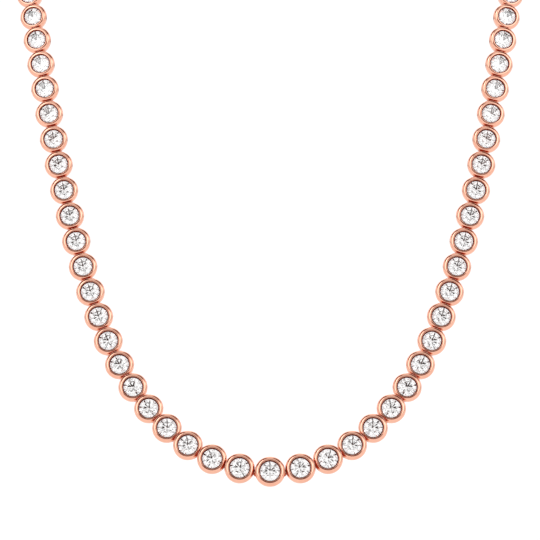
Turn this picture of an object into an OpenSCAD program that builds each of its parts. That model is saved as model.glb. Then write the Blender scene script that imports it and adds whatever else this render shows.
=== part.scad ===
// Riviere necklace: round brilliant stones, each in a deep rounded collet with a turned-over lip,
// joined all the way round by interlocking rings under the collets and closed at the nape by a
// barrel clasp. It keeps its worn shape: the front faces -Y, +Z is up, and the origin is the middle
// of the clasp, where the necklace rests on the nape. The left and right halves mirror each other.

/* [Chain] */
// Collets on each side of the front one
side_count = 49; // [48:1:49]
// Free space between neighbouring collets
collet_gap = 0.11; // [0.11:0.01:0.14]
// Size of the side collets, as a share of the front one
side_size = 0.985; // [0.975:0.005:0.99]
// Collets over which the size falls from the front one to the side ones
front_fade = 4; // [3:1:5]
// Part of the free space that the fanned-out front collets leave out below their lips
front_crowd = 0.05; // [0.03:0.01:0.05]
// Collets on each side before the chain tapers towards the clasp
taper_start = 20; // [18:1:24]
// Collets over which it tapers
taper_count = 5; // [4:1:6]
// Loss of size from one tapering collet to the next
taper_step = 0.024; // [0.02:0.002:0.024]

/* [Collet] */
// Outer diameter of the front collet
collet_d = 4.64; // [4.56:0.02:4.66]
// Diameter over the crest of the lip
crest_d = 3.48; // [3.42:0.02:3.56]
// Opening inside the lip
lip_d = 3.28; // [3.26:0.02:3.32]
// Height of the lip above the stone's girdle
lip_h = 0.5; // [0.46:0.02:0.54]
// Depth of the widest part below the girdle
bulge_depth = 0.1; // [0.1:0.05:0.2]
// Depth of the foot below the girdle
foot_depth = 2.8; // [2.6:0.05:3]
// Diameter of the foot
foot_d = 2.66; // [2.6:0.02:2.8]
// Diameter of the open back, at the foot
back_d = 2.1; // [1.9:0.05:2.15]

/* [Stone] */
// Girdle diameter of the front stone
stone_d = 3.2; // [3.16:0.02:3.22]
// Table width, as a share of the girdle
table_share = 0.57; // [0.53:0.01:0.62]
// Crown angle
crown_angle = 34.5; // [33:0.5:35]
// Pavilion angle
pavilion_angle = 40.8; // [40.4:0.2:41.4]
// Thickness of the girdle
girdle_h = 0.08; // [0.06:0.01:0.09]
// How far the star facets reach from the table to the girdle
star_share = 0.5; // [0.4:0.05:0.6]
// How far the lower facets reach from the girdle to the point
lower_share = 0.78; // [0.7:0.02:0.85]

/* [Rings] */
// Diameter of the ring wire
wire_d = 0.26; // [0.22:0.01:0.26]
// Depth of the rings below the girdle
ring_depth = 2.2; // [2.15:0.05:2.3]
// How deep a ring is soldered into its wall
ring_bite = 0.07; // [0.05:0.01:0.09]

/* [Clasp] */
// Diameter of the barrel clasp
clasp_d = 3.2; // [2.8:0.1:3.6]
// Radius of its rounded ends
clasp_round = 0.8; // [0.5:0.1:1]
// Wire radius of its end rings, from wire centre to ring centre
clasp_ring_r = 0.4; // [0.39:0.01:0.45]

/* [Worn shape] */
// Power with which the faces turn round from the front to the nape
face_turn = 3.6; // [3.4:0.1:3.8]
// Share of the chain's slope by which the front faces stay turned to the front
face_ease = 1; // [0.9:0.05:1]
// Share of the way to the nape after which the faces stand square to the chain
square_from = 0.62; // [0.58:0.02:0.66]
// Upward tilt of the front collets, as a slope
front_lift = 0.28; // [0.24:0.02:0.32]
// Upward tilt over the shoulders, as a slope
side_lift = 0.7; // [0.6:0.05:0.8]
// Upward tilt at the nape, as a slope
nape_lift = 0.25; // [0.2:0.05:0.3]

/* [Hidden] */
$fn = 48;

// Corners of the guide polygon round the centre line of the right half, from the front to the nape:
// [distance from the middle, depth from front to back, height]
GUIDE = [
    [ 0.0, -107.5, -106.5], // lowest point of the front
    [13.0, -102.0, -103.0],
    [24.0,  -93.0,  -91.0], // round the bottom of the curve
    [30.0,  -84.0,  -75.0],
    [35.0,  -76.0,  -56.0], // up the chest
    [38.5,  -68.5,  -37.0],
    [42.0,  -58.0,  -19.0], // beside the throat
    [50.0,  -46.0,   -5.0], // onto the shoulder
    [53.5,  -30.0,    3.0], // widest, over the shoulder
    [48.0,  -11.0,    5.0],
    [29.0,    3.0,    2.0], // round the back of the neck
    [ 0.0,    5.0,    0.0], // nape
];
LAST = len(GUIDE) - 1;
// Depth of the centre line below the girdles of the front collet
LINE_DEPTH = 0.95;
RIGHT = 1;
LEFT = -1;
EPS = 0.000001;

// Centre line: a cubic B-spline that mirrors itself at the front and at the nape

function mirrored(p) = [-p.x, p.y, p.z];
function corner(k) = k < 0 ? mirrored(GUIDE[-k]) : k > LAST ? mirrored(GUIDE[2 * LAST - k]) : GUIDE[k];
function on_line(s) =
    let (k = min(floor(s), LAST - 1), u = s - k)
    (pow(1 - u, 3) * corner(k - 1)
        + (3 * pow(u, 3) - 6 * pow(u, 2) + 4) * corner(k)
        + (-3 * pow(u, 3) + 3 * pow(u, 2) + 3 * u + 1) * corner(k + 1)
        + pow(u, 3) * corner(k + 2)) / 6;
line_samples = [for (s = [0:1/16:LAST + EPS]) on_line(min(s, LAST))];
line_steps = [for (k = [1:len(line_samples) - 1]) norm(line_samples[k] - line_samples[k - 1])];
line_length = line_steps * [for (step = line_steps) 1];

// Size of collet i, and the distance to the next one
function fade(i) = max(0, 1 - i / front_fade);
function size(i) =
    side_size + (1 - side_size) * fade(i) - taper_step * min(max(0, i - taper_start), taper_count);
function pitch(i) = collet_d / 2 * (size(i) + size(i + 1)) + collet_gap - front_crowd * fade(i);

// The place on the line between low and high that lies at a distance from a point
function place_at(distance, from, low, high, tries = 24) =
    let (middle = (low + high) / 2)
    tries == 0 ? middle
        : norm(on_line(middle) - from) < distance
            ? place_at(distance, from, middle, high, tries - 1)
            : place_at(distance, from, low, middle, tries - 1);
// Each collet lies one pitch beyond the one before. The one past the last only gives its direction.
places = [for (
    i = 0, s = 0;
    i <= side_count + 1;
    s = place_at(pitch(i), on_line(s), s, min(s + 1, LAST)), i = i + 1
) s];
points = [for (s = places) on_line(s)];
travelled = [for (i = 0, way = 0; i <= side_count; way = way + pitch(i), i = i + 1) way / line_length];

function unit(v) = v / norm(v);
function across(v, along, share = 1) = unit(v - share * (v * along) * along);
// Direction of the chain at collet i, and of its face: the face turns from the front round to the
// nape, tilts up over the shoulders, and stands square to the chain but for the ease of the front
function along(i) = unit(points[i + 1] - (i == 0 ? mirrored(points[1]) : points[i - 1]));
function tilt(t) =
    front_lift * max(0, 1 - pow(t / square_from, 2)) + side_lift * pow(max(sin(180 * pow(t, 2.2)), 0), 4)
        + nape_lift * pow(t, 3);
function outward(t) =
    let (turn = 180 * pow(t, face_turn))
    [sin(turn), -cos(turn), tilt(t)];
function ease(t) = face_ease * max(0, 1 - pow(t / square_from, 6));
function face(i) = across(outward(travelled[i]), along(i), 1 - ease(travelled[i]));

// The clasp lies at the depth of the rings, and its middle is the origin
clasp_face = across(outward(1), [1, 0, 0]);
rest_point = on_line(LAST) - (ring_depth - LINE_DEPTH) * size(side_count) * clasp_face;

// Everything below is placed for one side: the right one, or the left one as its mirror image
function on_side(v, side) = [side * v.x, v.y, v.z];
function girdle(i, side) = on_side(points[i] + LINE_DEPTH * size(i) * face(i) - rest_point, side);
function link(i, side) =
    on_side(points[i] - (ring_depth - LINE_DEPTH) * size(i) * face(i) - rest_point, side);

module frame(at, x, z) {
    y = cross(z, x);
    multmatrix([
        [x.x, y.x, z.x, at.x],
        [x.y, y.y, z.y, at.y],
        [x.z, y.z, z.z, at.z],
        [0, 0, 0, 1],
    ]) children();
}

module at_collet(i, side) {
    z = on_side(face(i), side);
    frame(girdle(i, side), across(on_side(along(i), side), z), z) scale(size(i)) children();
}

// Collet: one turned profile, round from the foot over the lip and back down through the seat
collet_r = collet_d / 2;
crest_r = crest_d / 2;
lip_r = lip_d / 2;
foot_r = foot_d / 2;
back_r = back_d / 2;
stone_r = stone_d / 2;
STONE_GAP = 0.05;
// Reach of the lip over the stone's edge
LIP_REACH = 0.12;
// Rounding of the lip's inner side
LIP_ROUND = 0.14;
// Width of the ledge that the stone's lower side sits on
LEDGE = 0.3;
claw_r = stone_r - LIP_REACH;
claw_z = girdle_h / 2 + LIP_REACH * tan(crown_angle) + STONE_GAP / cos(crown_angle);
ledge_drop = STONE_GAP / cos(pavilion_angle);

function wall_r(depth) =
    foot_r + (collet_r - foot_r) * cos(90 * (depth - bulge_depth) / (foot_depth - bulge_depth));

collet_profile = concat(
    [for (k = [0:5]) let (depth = foot_depth - (foot_depth - bulge_depth) * k / 6) [wall_r(depth), -depth]],
    [for (a = [0:18:90]) [
        crest_r + (collet_r - crest_r) * cos(a),
        -bulge_depth + (lip_h + bulge_depth) * sin(a),
    ]],
    [for (a = [30:30:90]) [crest_r - (crest_r - lip_r) * sin(a), lip_h - LIP_ROUND * (1 - cos(a))]],
    [
        [claw_r, claw_z],
        [stone_r + STONE_GAP, claw_z - (STONE_GAP + LIP_REACH) * tan(crown_angle)],
        [stone_r + STONE_GAP, -girdle_h / 2 - ledge_drop],
        [stone_r - LEDGE, -girdle_h / 2 - ledge_drop - (LEDGE + STONE_GAP) * tan(pavilion_angle)],
        [back_r, -foot_depth],
    ]
);

module collet() {
    rotate_extrude() polygon(collet_profile);
}

// Ring in the plane of the directions x and z
module ring(at, x, z, r) {
    frame(at, x, cross(x, z)) rotate_extrude() translate([r, 0]) circle(d = wire_d);
}

// Interlocking rings between collet i and the next one. The nearer collet's ring lies flat and the
// farther one's stands. Each takes a third of the free space, with what is soldered into the wall.
way_on = [for (i = [0:side_count - 1]) unit(link(i + 1, RIGHT) - link(i, RIGHT))];

// How far the wall of collet i is from its link point in a direction that leans by a slope
function wall_way(i, slope, way = foot_r, tries = 12) =
    tries == 0 ? way
        : wall_way(i, slope,
            wall_r(ring_depth - way * slope / size(i)) * size(i) / sqrt(1 - pow(slope, 2)), tries - 1);
function ring_start(i, direction) = wall_way(i, direction * face(i)) - ring_bite;
starts_on = [for (i = [0:side_count - 1]) ring_start(i, way_on[i])];
starts_back = [for (i = [1:side_count]) ring_start(i, -way_on[i - 1])];
function gap_ring_r(i) =
    (norm(link(i + 1, RIGHT) - link(i, RIGHT)) - starts_on[i] - starts_back[i]) / 3;

module lying_ring(i, side) {
    x = on_side(way_on[i], side);
    z = across(on_side(face(i) + face(i + 1), side), x);
    ring(link(i, side) + (starts_on[i] + gap_ring_r(i)) * x, x, cross(z, x), gap_ring_r(i));
}

module standing_ring(i, side) {
    x = -on_side(way_on[i - 1], side);
    ring(link(i, side) + (starts_back[i - 1] + gap_ring_r(i - 1)) * x, x,
        across(on_side(face(i) + face(i - 1), side), x), gap_ring_r(i - 1));
}

// The last collet's ring and the clasp's ring share a line to the end of the barrel
last_link = link(side_count, RIGHT);
end_start = wall_r(ring_depth) * size(side_count) - ring_bite;
clasp_reach = end_start + 3 * clasp_ring_r;
clasp_half = last_link.x - sqrt(pow(clasp_reach, 2) - pow(last_link.y, 2) - pow(last_link.z, 2));

module end_ring(side) {
    x = unit([side * clasp_half, 0, 0] - link(side_count, side));
    ring(link(side_count, side) + (end_start + clasp_ring_r) * x, x,
        across(on_side(face(side_count), side), x), clasp_ring_r);
}

module clasp_ring(side) {
    x = unit(link(side_count, side) - [side * clasp_half, 0, 0]);
    z = across(on_side(face(side_count), side), x);
    ring([side * clasp_half, 0, 0] + clasp_ring_r * x, x, cross(z, x), clasp_ring_r);
}

module settings(side, first) {
    for (i = [first:side_count]) {
        at_collet(i, side) collet();
        if (i < side_count) lying_ring(i, side);
        if (i > 0) standing_ring(i, side);
    }
    end_ring(side);
}

// Stone: a round brilliant of eight-fold symmetry, with its girdle at height 0
table_r = stone_r * table_share;
crown_z = girdle_h / 2;
table_z = crown_z + (stone_r - table_r) * tan(crown_angle);
star_r = (table_r * (1 - star_share) + stone_r * star_share) * cos(22.5 * star_share);
star_z = crown_z + (stone_r - star_r * cos(22.5)) * tan(crown_angle);
lower_r = stone_r * (1 - lower_share);
lower_z = -crown_z - (stone_r - lower_r * cos(22.5)) * tan(pavilion_angle);
point_z = -crown_z - stone_r * tan(pavilion_angle);

function corners(r, z, count, turn = 0) =
    [for (k = [0:count - 1]) [r * cos(360 * k / count + turn), r * sin(360 * k / count + turn), z]];

// Where each ring of corners starts in the list
TABLE = 0;
STAR = 8;
UPPER = 16;
LOWER = 32;
PAVILION = 48;
POINT = 56;
stone_corners = concat(
    corners(table_r, table_z, 8),
    corners(star_r, star_z, 8, 22.5),
    corners(stone_r, crown_z, 16),
    corners(stone_r, -crown_z, 16),
    corners(lower_r, lower_z, 8, 22.5),
    [[0, 0, point_z]]
);
stone_faces = concat(
    [[for (k = [7:-1:0]) TABLE + k]],
    [for (k = [0:7]) [TABLE + k, TABLE + (k + 1) % 8, STAR + k]],
    [for (k = [0:7]) [TABLE + k, STAR + k, UPPER + 2 * k, STAR + (k + 7) % 8]],
    [for (k = [0:7]) [STAR + k, UPPER + 2 * k + 1, UPPER + 2 * k]],
    [for (k = [0:7]) [STAR + k, UPPER + (2 * k + 2) % 16, UPPER + 2 * k + 1]],
    [for (k = [0:15]) [UPPER + k, UPPER + (k + 1) % 16, LOWER + (k + 1) % 16, LOWER + k]],
    [for (k = [0:7]) [PAVILION + k, LOWER + 2 * k, LOWER + 2 * k + 1]],
    [for (k = [0:7]) [PAVILION + k, LOWER + 2 * k + 1, LOWER + (2 * k + 2) % 16]],
    [for (k = [0:7]) [POINT, PAVILION + (k + 7) % 8, LOWER + 2 * k, PAVILION + k]]
);

module stones(side, first) {
    for (i = [first:side_count]) at_collet(i, side) polyhedron(stone_corners, stone_faces);
}

module settings_left() {
    color([0.93, 0.67, 0.54]) settings(LEFT, 1);
}

module settings_right() {
    color([0.93, 0.67, 0.54]) {
        settings(RIGHT, 0);
        lying_ring(0, LEFT);
    }
}

module stones_left() {
    color([0.95, 0.96, 0.98]) stones(LEFT, 1);
}

module stones_right() {
    color([0.95, 0.96, 0.98]) stones(RIGHT, 0);
}

// Barrel with rounded ends, made from its outline
barrel_r = clasp_d / 2;
module barrel() {
    rotate_extrude() polygon(concat(
        [[0, -clasp_half]],
        [for (a = [0:15:90]) [
            barrel_r - clasp_round * (1 - sin(a)), -clasp_half + clasp_round * (1 - cos(a)),
        ]],
        [for (a = [90:-15:0]) [
            barrel_r - clasp_round * (1 - sin(a)), clasp_half - clasp_round * (1 - cos(a)),
        ]],
        [[0, clasp_half]]
    ));
}

module clasp() {
    color([0.93, 0.67, 0.54]) {
        rotate([0, 90, 0]) barrel();
        clasp_ring(LEFT);
        clasp_ring(RIGHT);
    }
}

settings_left();
settings_right();
stones_left();
stones_right();
clasp();
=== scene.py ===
import math

import bpy
from bpy.props import FloatProperty, FloatVectorProperty, IntProperty, PointerProperty
from mathutils import Matrix, Vector


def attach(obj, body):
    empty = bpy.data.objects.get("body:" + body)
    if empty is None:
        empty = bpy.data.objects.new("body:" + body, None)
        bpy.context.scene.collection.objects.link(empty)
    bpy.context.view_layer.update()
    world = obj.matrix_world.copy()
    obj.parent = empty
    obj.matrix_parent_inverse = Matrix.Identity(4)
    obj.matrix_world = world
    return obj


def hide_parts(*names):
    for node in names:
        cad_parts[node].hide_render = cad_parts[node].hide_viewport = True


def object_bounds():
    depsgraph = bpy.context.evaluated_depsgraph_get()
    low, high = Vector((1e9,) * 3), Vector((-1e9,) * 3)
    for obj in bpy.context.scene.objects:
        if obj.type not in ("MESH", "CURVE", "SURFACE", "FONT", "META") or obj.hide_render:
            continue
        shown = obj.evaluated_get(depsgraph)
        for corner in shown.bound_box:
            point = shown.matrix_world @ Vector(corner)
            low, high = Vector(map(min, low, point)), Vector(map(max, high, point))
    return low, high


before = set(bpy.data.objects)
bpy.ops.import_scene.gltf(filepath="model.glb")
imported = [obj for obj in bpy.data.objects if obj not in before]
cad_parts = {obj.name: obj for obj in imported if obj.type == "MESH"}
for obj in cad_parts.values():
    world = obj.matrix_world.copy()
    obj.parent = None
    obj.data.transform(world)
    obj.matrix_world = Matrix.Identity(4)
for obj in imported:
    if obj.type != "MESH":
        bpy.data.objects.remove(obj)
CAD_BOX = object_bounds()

bl_info = {
    "name": "Riviere Necklace",
    "version": (1, 0, 0),
    "blender": (4, 5, 0),
    "location": "3D View > Sidebar > Necklace",
    "description": "Dresses a riviere necklace of collet-set stones and lights it for a product picture",
    "category": "Add Mesh",
}

MM = 0.001
RIGHT = 1
LEFT = -1
# Corners of the guide polygon of the right half's centre line, from the front to the nape, in mm:
# distance from the middle, depth from front to back, height
GUIDE = [Vector(row) for row in (
    (0.0, -107.5, -106.5),
    (13.0, -102.0, -103.0),
    (24.0, -93.0, -91.0),
    (30.0, -84.0, -75.0),
    (35.0, -76.0, -56.0),
    (38.5, -68.5, -37.0),
    (42.0, -58.0, -19.0),
    (50.0, -46.0, -5.0),
    (53.5, -30.0, 3.0),
    (48.0, -11.0, 5.0),
    (29.0, 3.0, 2.0),
    (0.0, 5.0, 0.0),
)]
LAST = len(GUIDE) - 1
# Steps of the centre line between two corners, for its length
LINE_STEPS = 16
# Halvings of a span in the search for the next collet's place, and rounds in that for a ring's start
HALVINGS = 24
ROUNDS = 12

# Cut of the stones, and the room for them in their collets, in mm
CROWN_ANGLE = math.radians(34.5)
PAVILION_ANGLE = math.radians(40.8)
GIRDLE_H = 0.08
STONE_GAP = 0.05
LIP_REACH = 0.12
LEDGE = 0.3
LIP_DROP = 0.14

# Steps in the turned profiles: foot to bulge, bulge to crest, crest to the inside of the lip, and the
# rounding of the barrel's ends
FOOT_STEPS = 10
BULGE_STEPS = 8
LIP_STEPS = 5
END_STEPS = 7

# Marks on the points of the metal, which its finish reads: 0 is open metal, 1 the wall in a recess
# in full painted shade, a deep red darkening, and 2 the bright-cut seat under a stone
# The rings' mark gives them a light painted shade
RING_SHADE_MARK = 0.25
FULL_SHADE_MARK = 1.0
CLAW_MARK = 1.55
SEAT_MARK = 2.0

# Rings: sides of the ring and of its wire, where its soldered root begins as a share of the radius,
# and how much the root swells
RING_SIDES = 20
WIRE_SIDES = 8
ROOT_FROM = 0.8
ROOT_SWELL = (1.1, 1.12, 1.35)

# Clasp: sides of the barrel, and its parting groove in mm
BARREL_SIDES = 64
GROOVE_HALF = 0.12
GROOVE_FLAT = 0.05
GROOVE_DEPTH = 0.07

# Edges sharper than this many degrees stay sharp
COLLET_EDGE = 38
BARREL_EDGE = 32

# Second tints of the finishes, and the light that dark cards still give
STONE_TINT = (0.97, 0.97, 0.97, 1)
FLOOR_GRAIN = (0.8, 0.8, 0.8, 1)
WHITE = (1, 1, 1, 1)
WARM = (1.0, 0.35, 0.2, 1)

# Stage: the floor's width and what the lamps are turned to, in metres
FLOOR_WIDTH = 30
LIT_POINT = Vector((0, -0.06, -0.07))
# Name, place, power and width of each lamp
LAMPS = (
    ("key", (-0.5, -0.55, 0.75), 0.8, 0.35),
    ("fill", (0.7, -0.3, 0.5), 0.5, 0.45),
)
CLIP_END = 100

# Places of the colour sockets on a Mix node, whose names are shared by its other kinds
MIX_FACTOR = 0
MIX_LOW = 6
MIX_HIGH = 7
MIX_RESULT = 2


class ChainSizes(bpy.types.PropertyGroup):
    """Sizes of the chain, in millimetres where a unit is wanted"""

    side_count: IntProperty(
        name="Side collets", description="Collets on each side of the front one", default=49
    )
    gap: FloatProperty(name="Gap", description="Free space between collets, mm", default=0.11)
    side_size: FloatProperty(
        name="Side size", description="Size of the side collets", default=0.985, subtype="FACTOR"
    )
    front_fade: IntProperty(
        name="Front fade", description="Collets over which the front size falls", default=4
    )
    front_crowd: FloatProperty(
        name="Front crowd", description="Free space left out at the front, mm", default=0.05
    )
    taper_start: IntProperty(name="Taper start", description="Collets before the taper", default=20)
    taper_count: IntProperty(name="Taper length", description="Collets in the taper", default=5)
    taper_step: FloatProperty(
        name="Taper step", description="Loss of size at each tapering collet", default=0.024
    )
    line_depth: FloatProperty(
        name="Line depth", description="Centre line below the girdles, mm", default=0.95
    )
    face_turn: FloatProperty(
        name="Face turn", description="How late the faces turn to the nape", default=3.6
    )
    front_lift: FloatProperty(
        name="Front lift", description="Upward slope of the front faces", default=0.28
    )
    side_lift: FloatProperty(
        name="Side lift", description="Upward slope where the chain turns back", default=0.7
    )
    nape_lift: FloatProperty(name="Nape lift", description="Upward slope at the nape", default=0.25)
    face_ease: FloatProperty(
        name="Face ease", description="How far the front faces look ahead", default=1.0
    )
    square_from: FloatProperty(
        name="Square from", description="Where faces are square to the chain", default=0.62
    )


class SettingSizes(bpy.types.PropertyGroup):
    """Sizes of the front setting and of the rings, in millimetres"""

    collet_r: FloatProperty(
        name="Collet radius", description="At the widest part, mm", default=2.32
    )
    crest_r: FloatProperty(
        name="Crest radius", description="To the top of the lip, mm", default=1.74
    )
    lip_r: FloatProperty(name="Lip radius", description="Inside the lip, mm", default=1.64)
    lip_h: FloatProperty(name="Lip height", description="Above the girdle, mm", default=0.5)
    bulge_depth: FloatProperty(
        name="Bulge depth", description="Widest part below the girdle, mm", default=0.1
    )
    foot_depth: FloatProperty(
        name="Foot depth", description="Foot below the girdle, mm", default=2.8
    )
    foot_r: FloatProperty(name="Foot radius", description="Outside the foot, mm", default=1.33)
    back_r: FloatProperty(name="Back radius", description="Of the open back, mm", default=1.05)
    stone_r: FloatProperty(name="Stone radius", description="At the girdle, mm", default=1.6)
    wire_r: FloatProperty(name="Wire radius", description="Of the rings, mm", default=0.13)
    ring_depth: FloatProperty(name="Ring depth", description="Below the girdle, mm", default=2.2)
    ring_bite: FloatProperty(name="Ring bite", description="Ring inside its wall, mm", default=0.07)
    clasp_r: FloatProperty(name="Clasp radius", description="Of the barrel, mm", default=1.6)
    clasp_round: FloatProperty(
        name="Clasp rounding", description="Of the barrel's ends, mm", default=0.8
    )
    clasp_ring_r: FloatProperty(
        name="Clasp ring", description="Radius of the end rings, mm", default=0.4
    )
    turns: IntProperty(name="Turned sides", description="Sides of a turned collet", default=48)


class FinishColours(bpy.types.PropertyGroup):
    """Colours and polish of metal, stones and floor"""

    gold: FloatVectorProperty(
        name="Rose gold", description="Colour of the metal", subtype="COLOR", size=3,
        default=(0.88, 0.475, 0.345)
    )
    gold_deep: FloatVectorProperty(
        name="Deep rose gold", description="Colour where it is less polished", subtype="COLOR", size=3,
        default=(0.84, 0.40, 0.28)
    )
    # Painted shade: the deep red that darkens the metal round the stones and between collets
    painted_shade: FloatVectorProperty(
        name="Recess", description="Colour of the metal round the stones and between collets",
        subtype="COLOR", size=3, default=(0.36, 0.055, 0.022)
    )
    seat: FloatVectorProperty(
        name="Seat", description="Bright-cut seat under the stones", subtype="COLOR", size=3,
        default=(0.8, 0.79, 0.79)
    )
    polish: FloatProperty(
        name="Roughness", description="Roughness of the metal", default=0.07, subtype="FACTOR"
    )
    stone: FloatVectorProperty(
        name="Stone", description="Tint of the stones", subtype="COLOR", size=3,
        default=(0.99, 0.99, 0.99)
    )
    stone_ior: FloatProperty(name="Stone IOR", description="Refraction of the stones", default=2.3)
    floor: FloatVectorProperty(
        name="Floor", description="Colour of the floor", subtype="COLOR", size=3,
        default=(0.9, 0.9, 0.9)
    )
    floor_glow: FloatProperty(name="Floor glow", description="Light of the lit floor", default=0.1)


class StudioSettings(bpy.types.PropertyGroup):
    """Camera place and light"""

    camera_y: FloatProperty(
        name="Camera depth", description="In front of the nape", default=-0.50455, unit="LENGTH"
    )
    camera_z: FloatProperty(
        name="Camera height", description="Below the nape", default=-0.0749, unit="LENGTH"
    )
    lens: FloatProperty(name="Lens", description="Focal length", default=173.33, unit="CAMERA")
    floor_drop: FloatProperty(
        name="Floor", description="Floor below the lowest collet", default=0.012, unit="LENGTH"
    )
    room: FloatProperty(name="Room light", description="Strength of the pale room", default=1.05)
    softbox: FloatProperty(
        name="Softboxes", description="Strength of the side softboxes", default=1.3
    )


def centre_line(s):
    """Point on the centre line: s counts the guide's corners from the front to the nape"""
    k = min(int(s), LAST - 1)
    u = s - k

    def corner(n):
        if n < 0:
            return Vector((-GUIDE[-n].x, GUIDE[-n].y, GUIDE[-n].z))
        if n > LAST:
            m = GUIDE[2 * LAST - n]
            return Vector((-m.x, m.y, m.z))
        return GUIDE[n]

    return (
        (1 - u) ** 3 * corner(k - 1)
        + (3 * u**3 - 6 * u**2 + 4) * corner(k)
        + (-3 * u**3 + 3 * u**2 + 3 * u + 1) * corner(k + 1)
        + u**3 * corner(k + 2)
    ) / 6


class Chain:
    """Places and directions of the collets, as the solids have them"""

    def __init__(self, sizes, setting):
        self.c = sizes
        self.s = setting
        steps = [centre_line(k / LINE_STEPS) for k in range(LINE_STEPS * LAST + 1)]
        length = sum((b - a).length for a, b in zip(steps, steps[1:]))
        s = way = 0.0
        self.points = []
        self.travelled = []
        for i in range(sizes.side_count + 2):
            here = centre_line(s)
            self.points.append(here)
            self.travelled.append(way / length)
            low, high = s, min(s + 1, LAST)
            for _ in range(HALVINGS):
                s = (low + high) / 2
                if (centre_line(s) - here).length < self.pitch(i):
                    low = s
                else:
                    high = s
            s = (low + high) / 2
            way += self.pitch(i)
        back = self.across(self.outward(1.0), Vector((1, 0, 0)))
        drop = (setting.ring_depth - sizes.line_depth) * self.size(sizes.side_count)
        self.rest = centre_line(LAST) - drop * back

    def fade(self, i):
        """1 at the front collet, falling to 0 over the first few"""
        return max(0, 1 - i / self.c.front_fade)

    def size(self, i):
        c = self.c
        loss = c.taper_step * min(max(0, i - c.taper_start), c.taper_count)
        return c.side_size + (1 - c.side_size) * self.fade(i) - loss

    def pitch(self, i):
        """Distance from a collet to the next"""
        radii = self.s.collet_r * (self.size(i) + self.size(i + 1))
        return radii + self.c.gap - self.c.front_crowd * self.fade(i)

    @staticmethod
    def across(v, along, share=1):
        """A direction without what it has along another, or without a share of that"""
        return (v - share * v.dot(along) * along).normalized()

    def along(self, i):
        p = self.points
        before = Vector((-p[1].x, p[1].y, p[1].z)) if i == 0 else p[i - 1]
        return (p[i + 1] - before).normalized()

    def outward(self, t):
        """Where a face looks after a share t of the way from the front to the nape"""
        c = self.c
        turn = math.pi * t**c.face_turn
        ahead = c.front_lift * max(0, 1 - (t / c.square_from) ** 2)
        over = c.side_lift * max(math.sin(math.pi * t**2.2), 0) ** 4
        return Vector((math.sin(turn), -math.cos(turn), ahead + over + c.nape_lift * t**3))

    def face(self, i):
        t = self.travelled[i]
        ease = self.c.face_ease * max(0, 1 - (t / self.c.square_from) ** 6)
        return self.across(self.outward(t), self.along(i), 1 - ease)

    @staticmethod
    def on_side(v, side):
        return Vector((side * v.x, v.y, v.z))

    def girdle(self, i, side):
        """Middle of a stone's girdle"""
        rise = self.c.line_depth * self.size(i)
        return self.on_side(self.points[i] + rise * self.face(i) - self.rest, side)

    def link(self, i, side):
        """Point behind a collet where its rings begin"""
        drop = (self.s.ring_depth - self.c.line_depth) * self.size(i)
        return self.on_side(self.points[i] - drop * self.face(i) - self.rest, side)

    def way_on(self, i):
        return (self.link(i + 1, RIGHT) - self.link(i, RIGHT)).normalized()

    def wall_r(self, depth):
        """Radius of the collet at a depth below the girdle"""
        s = self.s
        turn = 0.5 * math.pi * (depth - s.bulge_depth) / (s.foot_depth - s.bulge_depth)
        return s.foot_r + (s.collet_r - s.foot_r) * math.cos(turn)

    def ring_start(self, i, direction):
        """Distance from a link point to the wall in a direction, less what is soldered in"""
        slope = direction.dot(self.face(i))
        size = self.size(i)
        way = self.s.foot_r
        for _ in range(ROUNDS):
            way = self.wall_r(self.s.ring_depth - way * slope / size) * size / math.sqrt(1 - slope**2)
        return way - self.s.ring_bite

    def gap_ring_r(self, i):
        """Radius of the two rings between a collet and the next"""
        x = self.way_on(i)
        free = (self.link(i + 1, RIGHT) - self.link(i, RIGHT)).length
        return (free - self.ring_start(i, x) - self.ring_start(i + 1, -x)) / 3

    def end_start(self):
        return self.wall_r(self.s.ring_depth) * self.size(self.c.side_count) - self.s.ring_bite

    def clasp_half(self):
        """Half the length of the clasp's barrel"""
        end = self.link(self.c.side_count, RIGHT)
        reach = self.end_start() + 3 * self.s.clasp_ring_r
        return end.x - math.sqrt(reach**2 - end.y**2 - end.z**2)


def frame_matrix(at, x, z, scale):
    """Places a piece modelled in mm at a point, with its own x and z along the given directions"""
    y = z.cross(x)
    turn = Matrix((x, y, z)).transposed().to_4x4()
    return Matrix.Translation(at * MM) @ turn @ Matrix.Scale(scale * MM, 4)


# Modelling helpers


def clear_selection():
    if bpy.context.mode != "OBJECT":
        bpy.ops.object.mode_set(mode="OBJECT")
    bpy.ops.object.select_all(action="DESELECT")


def edit_all():
    bpy.ops.object.mode_set(mode="EDIT")
    bpy.ops.mesh.select_mode(type="VERT")
    bpy.ops.mesh.select_all(action="SELECT")


def turned_piece(name, profile, sides, closed):
    """Pulls a circle along a profile of (radius, height) pairs, each step an extrusion and a resize.

    A closed profile joins its last circle to its first, and an open one gets a face at each end."""
    clear_selection()
    radius, height = profile[0]
    bpy.ops.mesh.primitive_circle_add(vertices=sides, radius=radius, location=(0, 0, height))
    piece = bpy.context.object
    piece.name = name
    bpy.ops.object.transform_apply(location=True, rotation=True, scale=True)
    edit_all()
    for (r0, z0), (r1, z1) in zip(profile, profile[1:]):
        bpy.ops.mesh.extrude_region_move(TRANSFORM_OT_translate={"value": (0, 0, z1 - z0)})
        bpy.ops.transform.resize(value=(r1 / r0, r1 / r0, 1), center_override=(0, 0, z1))
    bpy.ops.mesh.select_all(action="DESELECT")
    bpy.ops.mesh.select_non_manifold()
    if closed:
        bpy.ops.mesh.bridge_edge_loops()
    else:
        bpy.ops.mesh.edge_face_add()
    bpy.ops.mesh.select_all(action="SELECT")
    bpy.ops.mesh.remove_doubles(threshold=0.0005)
    bpy.ops.mesh.normals_make_consistent(inside=False)
    bpy.ops.object.mode_set(mode="OBJECT")
    return piece


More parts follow.
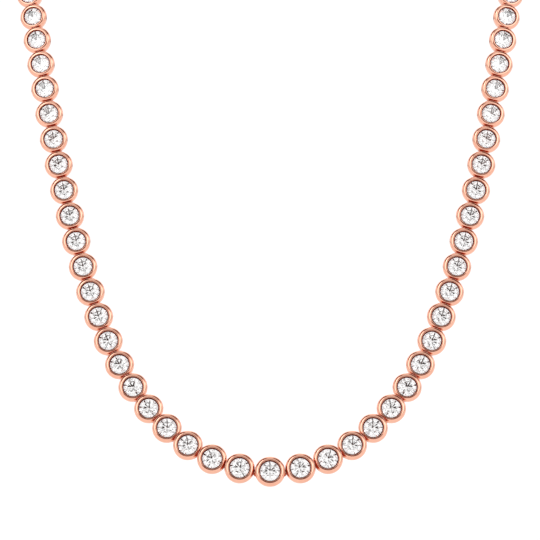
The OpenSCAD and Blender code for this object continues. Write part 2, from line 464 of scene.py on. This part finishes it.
def copies_joined(model, places, name):
    """Copies a piece to each place, every copy with its own mesh, and joins the copies at the origin"""
    made = []
    for place in places:
        copy = model.copy()
        copy.data = model.data.copy()
        copy.matrix_world = place
        bpy.context.scene.collection.objects.link(copy)
        made.append(copy)
    return joined(made, name)


def joined(pieces, name):
    """Joins pieces into one object at the origin, unturned and unscaled"""
    clear_selection()
    for piece in pieces:
        piece.select_set(True)
    bpy.context.view_layer.objects.active = pieces[0]
    bpy.ops.object.transform_apply(location=True, rotation=True, scale=True)
    if len(pieces) > 1:
        bpy.ops.object.join()
    whole = bpy.context.object
    whole.name = name
    whole.data.name = name
    clear_selection()
    return whole


def smooth(piece, degrees):
    clear_selection()
    piece.select_set(True)
    bpy.context.view_layer.objects.active = piece
    bpy.ops.object.shade_smooth_by_angle(angle=math.radians(degrees))
    clear_selection()


def dress(piece, material):
    piece.data.materials.clear()
    piece.data.materials.append(material)


def stand_for(piece, node):
    """Gives a metal piece its finish and puts it in the place of a solid"""
    dress(piece, bpy.data.materials["polished_rose_gold"])
    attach(piece, "root")
    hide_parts(node)


# Shader helpers


class Sock:
    """An output socket that maths can be written with"""

    def __init__(self, tree, out):
        self.tree = tree
        self.out = out

    def maths(self, operation, *values):
        node = self.tree.nodes.new("ShaderNodeMath")
        node.operation = operation
        for place, value in zip(node.inputs, values):
            feed(self.tree, place, value)
        return Sock(self.tree, node.outputs[0])

    def __add__(self, other):
        return self.maths("ADD", self, other)

    def __radd__(self, other):
        return self.maths("ADD", other, self)

    def __sub__(self, other):
        return self.maths("SUBTRACT", self, other)

    def __rsub__(self, other):
        return self.maths("SUBTRACT", other, self)

    def __mul__(self, other):
        return self.maths("MULTIPLY", self, other)

    def __rmul__(self, other):
        return self.maths("MULTIPLY", other, self)

    def __abs__(self):
        return self.maths("ABSOLUTE", self)

    def step(self, low, high):
        """0 below low, 1 above high, and smooth between them"""
        node = self.tree.nodes.new("ShaderNodeMapRange")
        node.interpolation_type = "SMOOTHSTEP"
        feed(self.tree, node.inputs["Value"], self)
        node.inputs["From Min"].default_value = low
        node.inputs["From Max"].default_value = high
        return Sock(self.tree, node.outputs["Result"])


def feed(tree, place, value):
    """Links a socket to an input, or sets the input to a plain value"""
    if isinstance(value, Sock):
        tree.links.new(value.out, place)
    else:
        place.default_value = value


class Shader:
    """A material or world tree with one call for each node"""

    def __init__(self, owner):
        owner.use_nodes = True
        self.tree = owner.node_tree
        self.tree.nodes.clear()

    def node(self, kind, settings=None, output=0, **sockets):
        """Adds a node, first its settings and then its sockets' values or links, and gives one output"""
        made = self.tree.nodes.new(kind)
        for key, value in (settings or {}).items():
            setattr(made, key, value)
        for key, value in sockets.items():
            feed(self.tree, made.inputs[key.replace("_", " ")], value)
        return Sock(self.tree, made.outputs[output])

    def blend(self, factor, low, high):
        """A colour between two others"""
        made = self.tree.nodes.new("ShaderNodeMix")
        made.data_type = "RGBA"
        feed(self.tree, made.inputs[MIX_FACTOR], factor)
        feed(self.tree, made.inputs[MIX_LOW], low)
        feed(self.tree, made.inputs[MIX_HIGH], high)
        return Sock(self.tree, made.outputs[MIX_RESULT])

    def split(self, vector):
        """The three numbers of a vector"""
        made = self.tree.nodes.new("ShaderNodeSeparateXYZ")
        feed(self.tree, made.inputs[0], vector)
        return [Sock(self.tree, out) for out in made.outputs]

    def surface(self, shader, kind="ShaderNodeOutputMaterial"):
        out = self.tree.nodes.new(kind)
        self.tree.links.new(shader.out, out.inputs["Surface"])


def rose_gold(finish):
    """Polished rose gold with patches of a deeper tone, fine lines, small dings, and painted shade: a
    deep red darkening of the recesses round the stones and between collets
    """
    metal = bpy.data.materials.new("polished_rose_gold")
    s = Shader(metal)
    place = s.node("ShaderNodeTexCoord", output="Object")
    patches = s.node("ShaderNodeTexNoise", Vector=place, Scale=420.0, Detail=3.0)
    lines = s.node("ShaderNodeTexNoise", Vector=place, Scale=5200.0, Detail=4.0, Roughness=0.7)
    dings = s.node("ShaderNodeTexVoronoi", Vector=place, Scale=900.0).step(0.0, 0.16)
    tone = patches.step(0.42, 0.72)
    bump = s.node("ShaderNodeBump", Height=lines * 0.35 + dings * 0.25, Strength=0.035, Distance=0.00005)
    # Painted shade: marked walls round the stones, walls beside neighbours and the rings are darkened
    # towards a deep red, and made a little rougher
    mark = s.node("ShaderNodeAttribute", {"attribute_name": "painted_shade"}, output="Fac")
    painted_shade = mark.step(0.05, 0.8)
    unshaded_gold = s.blend(tone * 0.5, (*finish.gold, 1), (*finish.gold_deep, 1))
    shaded_gold = s.blend(painted_shade, unshaded_gold, (*finish.painted_shade, 1))
    s.surface(s.node(
        "ShaderNodeBsdfPrincipled",
        Base_Color=s.blend(mark.step(1.3, 1.8), shaded_gold, (*finish.seat, 1)),
        Metallic=1.0,
        Roughness=lines.step(0.35, 0.7) * 0.05 + painted_shade * 0.2 + finish.polish,
        Normal=bump,
    ))
    return metal


def cut_stone(finish):
    """Colourless cut stone, clear and strongly refracting, with a faint change of tint"""
    stone = bpy.data.materials.new("clear_cut_stone")
    s = Shader(stone)
    place = s.node("ShaderNodeTexCoord", output="Object")
    tint = s.node("ShaderNodeTexNoise", Vector=place, Scale=260.0, Detail=1.0).step(0.35, 0.7)
    polish = s.node("ShaderNodeTexNoise", Vector=place, Scale=3000.0, Detail=2.0)
    s.surface(s.node(
        "ShaderNodeBsdfPrincipled",
        Base_Color=s.blend(tint * 0.6, (*finish.stone, 1), STONE_TINT),
        Roughness=polish.step(0.6, 0.9) * 0.01,
        IOR=finish.stone_ior,
        Transmission_Weight=1.0,
    ))
    return stone


def pale_floor(finish):
    """Plain pale floor with a hardly visible grain"""
    floor = bpy.data.materials.new("pale_floor")
    s = Shader(floor)
    place = s.node("ShaderNodeTexCoord", output="Object")
    grain = s.node("ShaderNodeTexNoise", Vector=place, Scale=60.0, Detail=3.0)
    s.surface(s.node(
        "ShaderNodeBsdfPrincipled",
        Base_Color=s.blend(grain.step(0.3, 0.7) * 0.02, (*finish.floor, 1), FLOOR_GRAIN),
        Roughness=0.75,
        Emission_Color=WHITE,
        Emission_Strength=finish.floor_glow,
    ))
    return floor


# The pieces


def collet_profile(s):
    """Radius and height of the collet's wall: up from the foot, over the lip, down to the open back"""
    crown = math.tan(CROWN_ANGLE)
    pavilion = math.tan(PAVILION_ANGLE)
    claw_z = GIRDLE_H / 2 + LIP_REACH * crown + STONE_GAP / math.cos(CROWN_ANGLE)
    under = -GIRDLE_H / 2 - STONE_GAP / math.cos(PAVILION_ANGLE)
    rise = s.lip_h + s.bulge_depth
    wall = []
    for k in range(FOOT_STEPS):
        turn = 0.5 * math.pi * (1 - k / FOOT_STEPS)
        depth = s.bulge_depth + (s.foot_depth - s.bulge_depth) * (1 - k / FOOT_STEPS)
        wall.append((s.foot_r + (s.collet_r - s.foot_r) * math.cos(turn), -depth))
    for k in range(BULGE_STEPS + 1):
        turn = 0.5 * math.pi * k / BULGE_STEPS
        radius = s.crest_r + (s.collet_r - s.crest_r) * math.cos(turn)
        wall.append((radius, rise * math.sin(turn) - s.bulge_depth))
    for k in range(1, LIP_STEPS + 1):
        turn = 0.5 * math.pi * k / LIP_STEPS
        radius = s.crest_r - (s.crest_r - s.lip_r) * math.sin(turn)
        wall.append((radius, s.lip_h - LIP_DROP * (1 - math.cos(turn))))
    wall.append((s.stone_r - LIP_REACH, claw_z))
    wall.append((s.stone_r + STONE_GAP, claw_z - (STONE_GAP + LIP_REACH) * crown))
    wall.append((s.stone_r + STONE_GAP, under))
    wall.append((s.stone_r - LEDGE, under - (LEDGE + STONE_GAP) * pavilion))
    wall.append((s.back_r, -s.foot_depth))
    return wall


def mark_shade_and_seat(piece, amount):
    """Keeps its mark on each point of a piece"""
    marks = piece.data.attributes.new("painted_shade", "FLOAT", "POINT")
    for vertex in piece.data.vertices:
        marks.data[vertex.index].value = amount(vertex.co)


def collet_shade_and_seat(s, at):
    """Mark of a point: seat, claw or wall round the stone, all in painted shade, or a share of painted
    shade on the wall beside a neighbour
    """
    lip_edge = s.lip_r + 0.03
    foot_edge = -s.foot_depth + 0.1
    seat_top = 0.1
    claw_top = 0.2
    radius = math.hypot(at.x, at.y)
    if radius < lip_edge and at.z > foot_edge:
        if at.z < seat_top:
            return SEAT_MARK
        return CLAW_MARK if at.z < claw_top else FULL_SHADE_MARK
    # Painted shade on the outside, full only where it faces a neighbour and lies below the lip, with a
    # soft start
    beside = min(1, max(0, abs(at.x) / max(radius, 0.01) - 0.86) / 0.1)
    low = min(1, max(0, (0.22 - at.z) / 0.35))
    return beside * low * FULL_SHADE_MARK


def model_ring(s):
    """A soldered ring of wire round the origin, thicker at -X where it joins its wall"""
    clear_selection()
    bpy.ops.mesh.primitive_torus_add(
        major_segments=RING_SIDES, minor_segments=WIRE_SIDES,
        major_radius=s.clasp_ring_r, minor_radius=s.wire_r,
    )
    ring = bpy.context.object
    edit_all()
    bpy.ops.mesh.select_all(action="DESELECT")
    bpy.ops.object.mode_set(mode="OBJECT")
    for vertex in ring.data.vertices:
        vertex.select = vertex.co.x < -ROOT_FROM * s.clasp_ring_r
    bpy.ops.object.mode_set(mode="EDIT")
    bpy.ops.transform.resize(value=ROOT_SWELL, center_override=(-s.clasp_ring_r, 0, 0))
    bpy.ops.object.mode_set(mode="OBJECT")
    return ring


def ring_places(chain, side):
    """Places of the rings on one side. The nearer collet's ring lies flat, the farther one's stands."""
    places = []
    s = chain.s
    for i in range(chain.c.side_count):
        x = chain.on_side(chain.way_on(i), side)
        z = chain.across(chain.on_side(chain.face(i) + chain.face(i + 1), side), x)
        r = chain.gap_ring_r(i)
        at = chain.link(i, side) + (chain.ring_start(i, chain.way_on(i)) + r) * x
        places.append(frame_matrix(at, x, z, r / s.clasp_ring_r))
        at = chain.link(i + 1, side) - (chain.ring_start(i + 1, -chain.way_on(i)) + r) * x
        places.append(frame_matrix(at, -x, -x.cross(z), r / s.clasp_ring_r))
    end = chain.c.side_count
    target = Vector((side * chain.clasp_half(), 0, 0))
    x = (target - chain.link(end, side)).normalized()
    z = chain.across(chain.on_side(chain.face(end), side), x)
    at = chain.link(end, side) + (chain.end_start() + s.clasp_ring_r) * x
    places.append(frame_matrix(at, x, x.cross(z), 1))
    return places


def collet_place(chain, i, side):
    z = chain.on_side(chain.face(i), side)
    x = chain.across(chain.on_side(chain.along(i), side), z)
    return frame_matrix(chain.girdle(i, side), x, z, chain.size(i))


class NECKLACE_OT_finishes(bpy.types.Operator):
    """Make the metal and stone finishes"""

    bl_idname = "necklace.finishes"
    bl_label = "Make finishes"

    def execute(self, context):
        finish = context.scene.necklace_finish
        rose_gold(finish)
        cut_stone(finish)
        return {"FINISHED"}


class NECKLACE_OT_settings(bpy.types.Operator):
    """Turn one collet, copy it to every place on the chain, and join each half with its rings"""

    bl_idname = "necklace.settings"
    bl_label = "Add settings"

    def execute(self, context):
        s = context.scene.necklace_setting
        chain = Chain(context.scene.necklace_chain, s)
        collet = turned_piece("collet", collet_profile(s), s.turns, True)
        # Painted shade and the seat are marked on the collet's points
        mark_shade_and_seat(collet, lambda at: collet_shade_and_seat(s, at))
        ring = model_ring(s)
        # The rings get a light painted shade
        mark_shade_and_seat(ring, lambda at: RING_SHADE_MARK)
        for side, first, node in ((LEFT, 1, "settings_left"), (RIGHT, 0, "settings_right")):
            spots = [collet_place(chain, i, side) for i in range(first, chain.c.side_count + 1)]
            rings = ring_places(chain, side)
            half = joined([
                copies_joined(collet, spots, "collets"),
                copies_joined(ring, rings, "rings"),
            ], node + "_metal")
            smooth(half, COLLET_EDGE)
            stand_for(half, node)
        bpy.data.objects.remove(collet)
        bpy.data.objects.remove(ring)
        return {"FINISHED"}


class NECKLACE_OT_stones(bpy.types.Operator):
    """Give the cut stones their clear, strongly refracting finish"""

    bl_idname = "necklace.stones"
    bl_label = "Finish stones"

    def execute(self, context):
        for node in ("stones_left", "stones_right"):
            dress(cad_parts[node], bpy.data.materials["clear_cut_stone"])
        return {"FINISHED"}


class NECKLACE_OT_clasp(bpy.types.Operator):
    """Turn the barrel clasp with its parting groove, and put a ring at each end"""

    bl_idname = "necklace.clasp"
    bl_label = "Add clasp"

    def execute(self, context):
        s = context.scene.necklace_setting
        chain = Chain(context.scene.necklace_chain, s)
        half = chain.clasp_half()
        r = s.clasp_r
        side = [(r - s.clasp_round, -half)]
        for k in range(1, END_STEPS + 1):
            turn = 0.5 * math.pi * k / END_STEPS
            radius = r - s.clasp_round * (1 - math.sin(turn))
            side.append((radius, -half + s.clasp_round * (1 - math.cos(turn))))
        side += [(r, -GROOVE_HALF), (r - GROOVE_DEPTH, -GROOVE_FLAT)]
        profile = side + [(radius, -height) for radius, height in reversed(side)]
        barrel = turned_piece("barrel", profile, BARREL_SIDES, False)
        barrel.matrix_world = frame_matrix(Vector((0, 0, 0)), Vector((0, 0, -1)), Vector((1, 0, 0)), 1)
        ring = model_ring(s)
        spots = []
        for turn in (LEFT, RIGHT):
            end = Vector((turn * half, 0, 0))
            x = (chain.link(chain.c.side_count, turn) - end).normalized()
            z = chain.across(chain.on_side(chain.face(chain.c.side_count), turn), x)
            spots.append(frame_matrix(end + s.clasp_ring_r * x, x, z, 1))
        whole = joined([barrel, copies_joined(ring, spots, "end_rings")], "barrel_clasp")
        bpy.data.objects.remove(ring)
        smooth(whole, BARREL_EDGE)
        stand_for(whole, "clasp")
        return {"FINISHED"}


class NECKLACE_OT_stage(bpy.types.Operator):
    """Set up the pale floor, the room light, the softboxes and the camera"""

    bl_idname = "necklace.stage"
    bl_label = "Add stage"

    def execute(self, context):
        st = context.scene.necklace_studio
        finish = context.scene.necklace_finish
        clear_selection()
        floor_z = CAD_BOX[0][2] - st.floor_drop
        bpy.ops.mesh.primitive_plane_add(size=FLOOR_WIDTH, location=(0, 0, floor_z))
        floor = bpy.context.object
        floor.name = "floor"
        dress(floor, pale_floor(finish))
        self.light_room(context, st)
        for name, place, energy, size in LAMPS:
            bpy.ops.object.light_add(type="AREA", location=place)
            lamp = bpy.context.object
            lamp.name = name
            lamp.data.energy = energy
            lamp.data.size = size
            lamp.rotation_euler = (LIT_POINT - Vector(place)).to_track_quat("-Z", "Y").to_euler()
        level = (math.pi / 2, 0, 0)
        bpy.ops.object.camera_add(location=(0, st.camera_y, st.camera_z), rotation=level)
        camera = bpy.context.object
        camera.data.lens = st.lens
        camera.data.clip_end = CLIP_END
        context.scene.camera = camera
        context.scene.view_settings.view_transform = "Standard"
        return {"FINISHED"}

    def light_room(self, context, st):
        """A pale room: the metal mirrors its softboxes and dark cards, the stones refract its patches"""
        world = bpy.data.worlds.new("room")
        context.scene.world = world
        s = Shader(world)
        room = s.node("ShaderNodeTexCoord", output="Generated")
        x, y, z = s.split(room)
        reach = abs(x)

        def patch(way, inner, outer):
            """1 within the inner angle of a direction or its mirror image, 0 beyond the outer angle"""
            way = Vector(way).normalized()
            near = reach * way.x + y * way.y + z * way.z
            return near.step(math.cos(math.radians(outer)), math.cos(math.radians(inner)))

        # Bright: the room behind and above, and the softboxes at both sides
        back = y.step(0.15, 0.5) * z.step(0.0, 0.2)
        sides = patch((0.5, -0.75, 0.45), 13, 21)
        # Dark: a card above at each side, one ahead, and the back of the room at each side
        cards = patch((0.53, 0.05, 0.82), 19, 28)
        ahead = patch((0, -0.966, 0.25), 15, 20)
        edges = y.step(0.6, 0.9) * reach.step(0.1, 0.3)
        dark = 1 - (1 - cards) * (1 - ahead)
        bright = 0.88 + back * 0.7 + sides * st.softbox
        seen = bright * (1 - dark * 0.88) * (1 - edges * 0.6)
        # What the stones refract: bright patches, and dark straight ahead
        patches = s.node("ShaderNodeTexNoise", Vector=room, Scale=3.2, Detail=2.0)
        front = patch((0, -1, 0), 15, 18)
        sparkle = (0.5 + patches.step(0.36, 0.48) * 0.92) * (1 - front * 0.97)
        # A ray through a stone also counts as a mirrored one, so that share is taken out
        through = s.node("ShaderNodeLightPath", output="Is Transmission Ray")
        glossy = s.node("ShaderNodeLightPath", output="Is Glossy Ray") * (1 - through)
        level = st.room + glossy * (seen - st.room) + through * (sparkle - st.room)
        warm = 1 - (1 - dark) * (1 - edges * 0.7)
        colour = s.blend(glossy * warm, WHITE, WARM)
        light = s.node("ShaderNodeBackground", Color=colour, Strength=level)
        s.surface(light, "ShaderNodeOutputWorld")


class NECKLACE_PT_panel(bpy.types.Panel):
    """Sizes, finishes and steps of the necklace"""

    bl_idname = "NECKLACE_PT_panel"
    bl_label = "Riviere Necklace"
    bl_space_type = "VIEW_3D"
    bl_region_type = "UI"
    bl_category = "Necklace"

    def draw(self, context):
        for group, _ in GROUPS:
            box = self.layout.box()
            settings = getattr(context.scene, group)
            for key in settings.bl_rna.properties.keys():
                if key not in ("rna_type", "name"):
                    box.prop(settings, key)
        for step in STEPS:
            self.layout.operator("necklace." + step)


GROUPS = (
    ("necklace_chain", ChainSizes),
    ("necklace_setting", SettingSizes),
    ("necklace_finish", FinishColours),
    ("necklace_studio", StudioSettings),
)
STEPS = ("finishes", "settings", "stones", "clasp", "stage")
CLASSES = (
    NECKLACE_OT_finishes,
    NECKLACE_OT_settings,
    NECKLACE_OT_stones,
    NECKLACE_OT_clasp,
    NECKLACE_OT_stage,
    NECKLACE_PT_panel,
)


def register():
    for name, group in GROUPS:
        bpy.utils.register_class(group)
        setattr(bpy.types.Scene, name, PointerProperty(type=group))
    for made in CLASSES:
        bpy.utils.register_class(made)


def unregister():
    for made in reversed(CLASSES):
        bpy.utils.unregister_class(made)
    for name, group in reversed(GROUPS):
        delattr(bpy.types.Scene, name)
        bpy.utils.unregister_class(group)


def main():
    """Registers the add-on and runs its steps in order"""
    register()
    for step in STEPS:
        getattr(bpy.ops.necklace, step)()


if __name__ == "__main__":
    main()
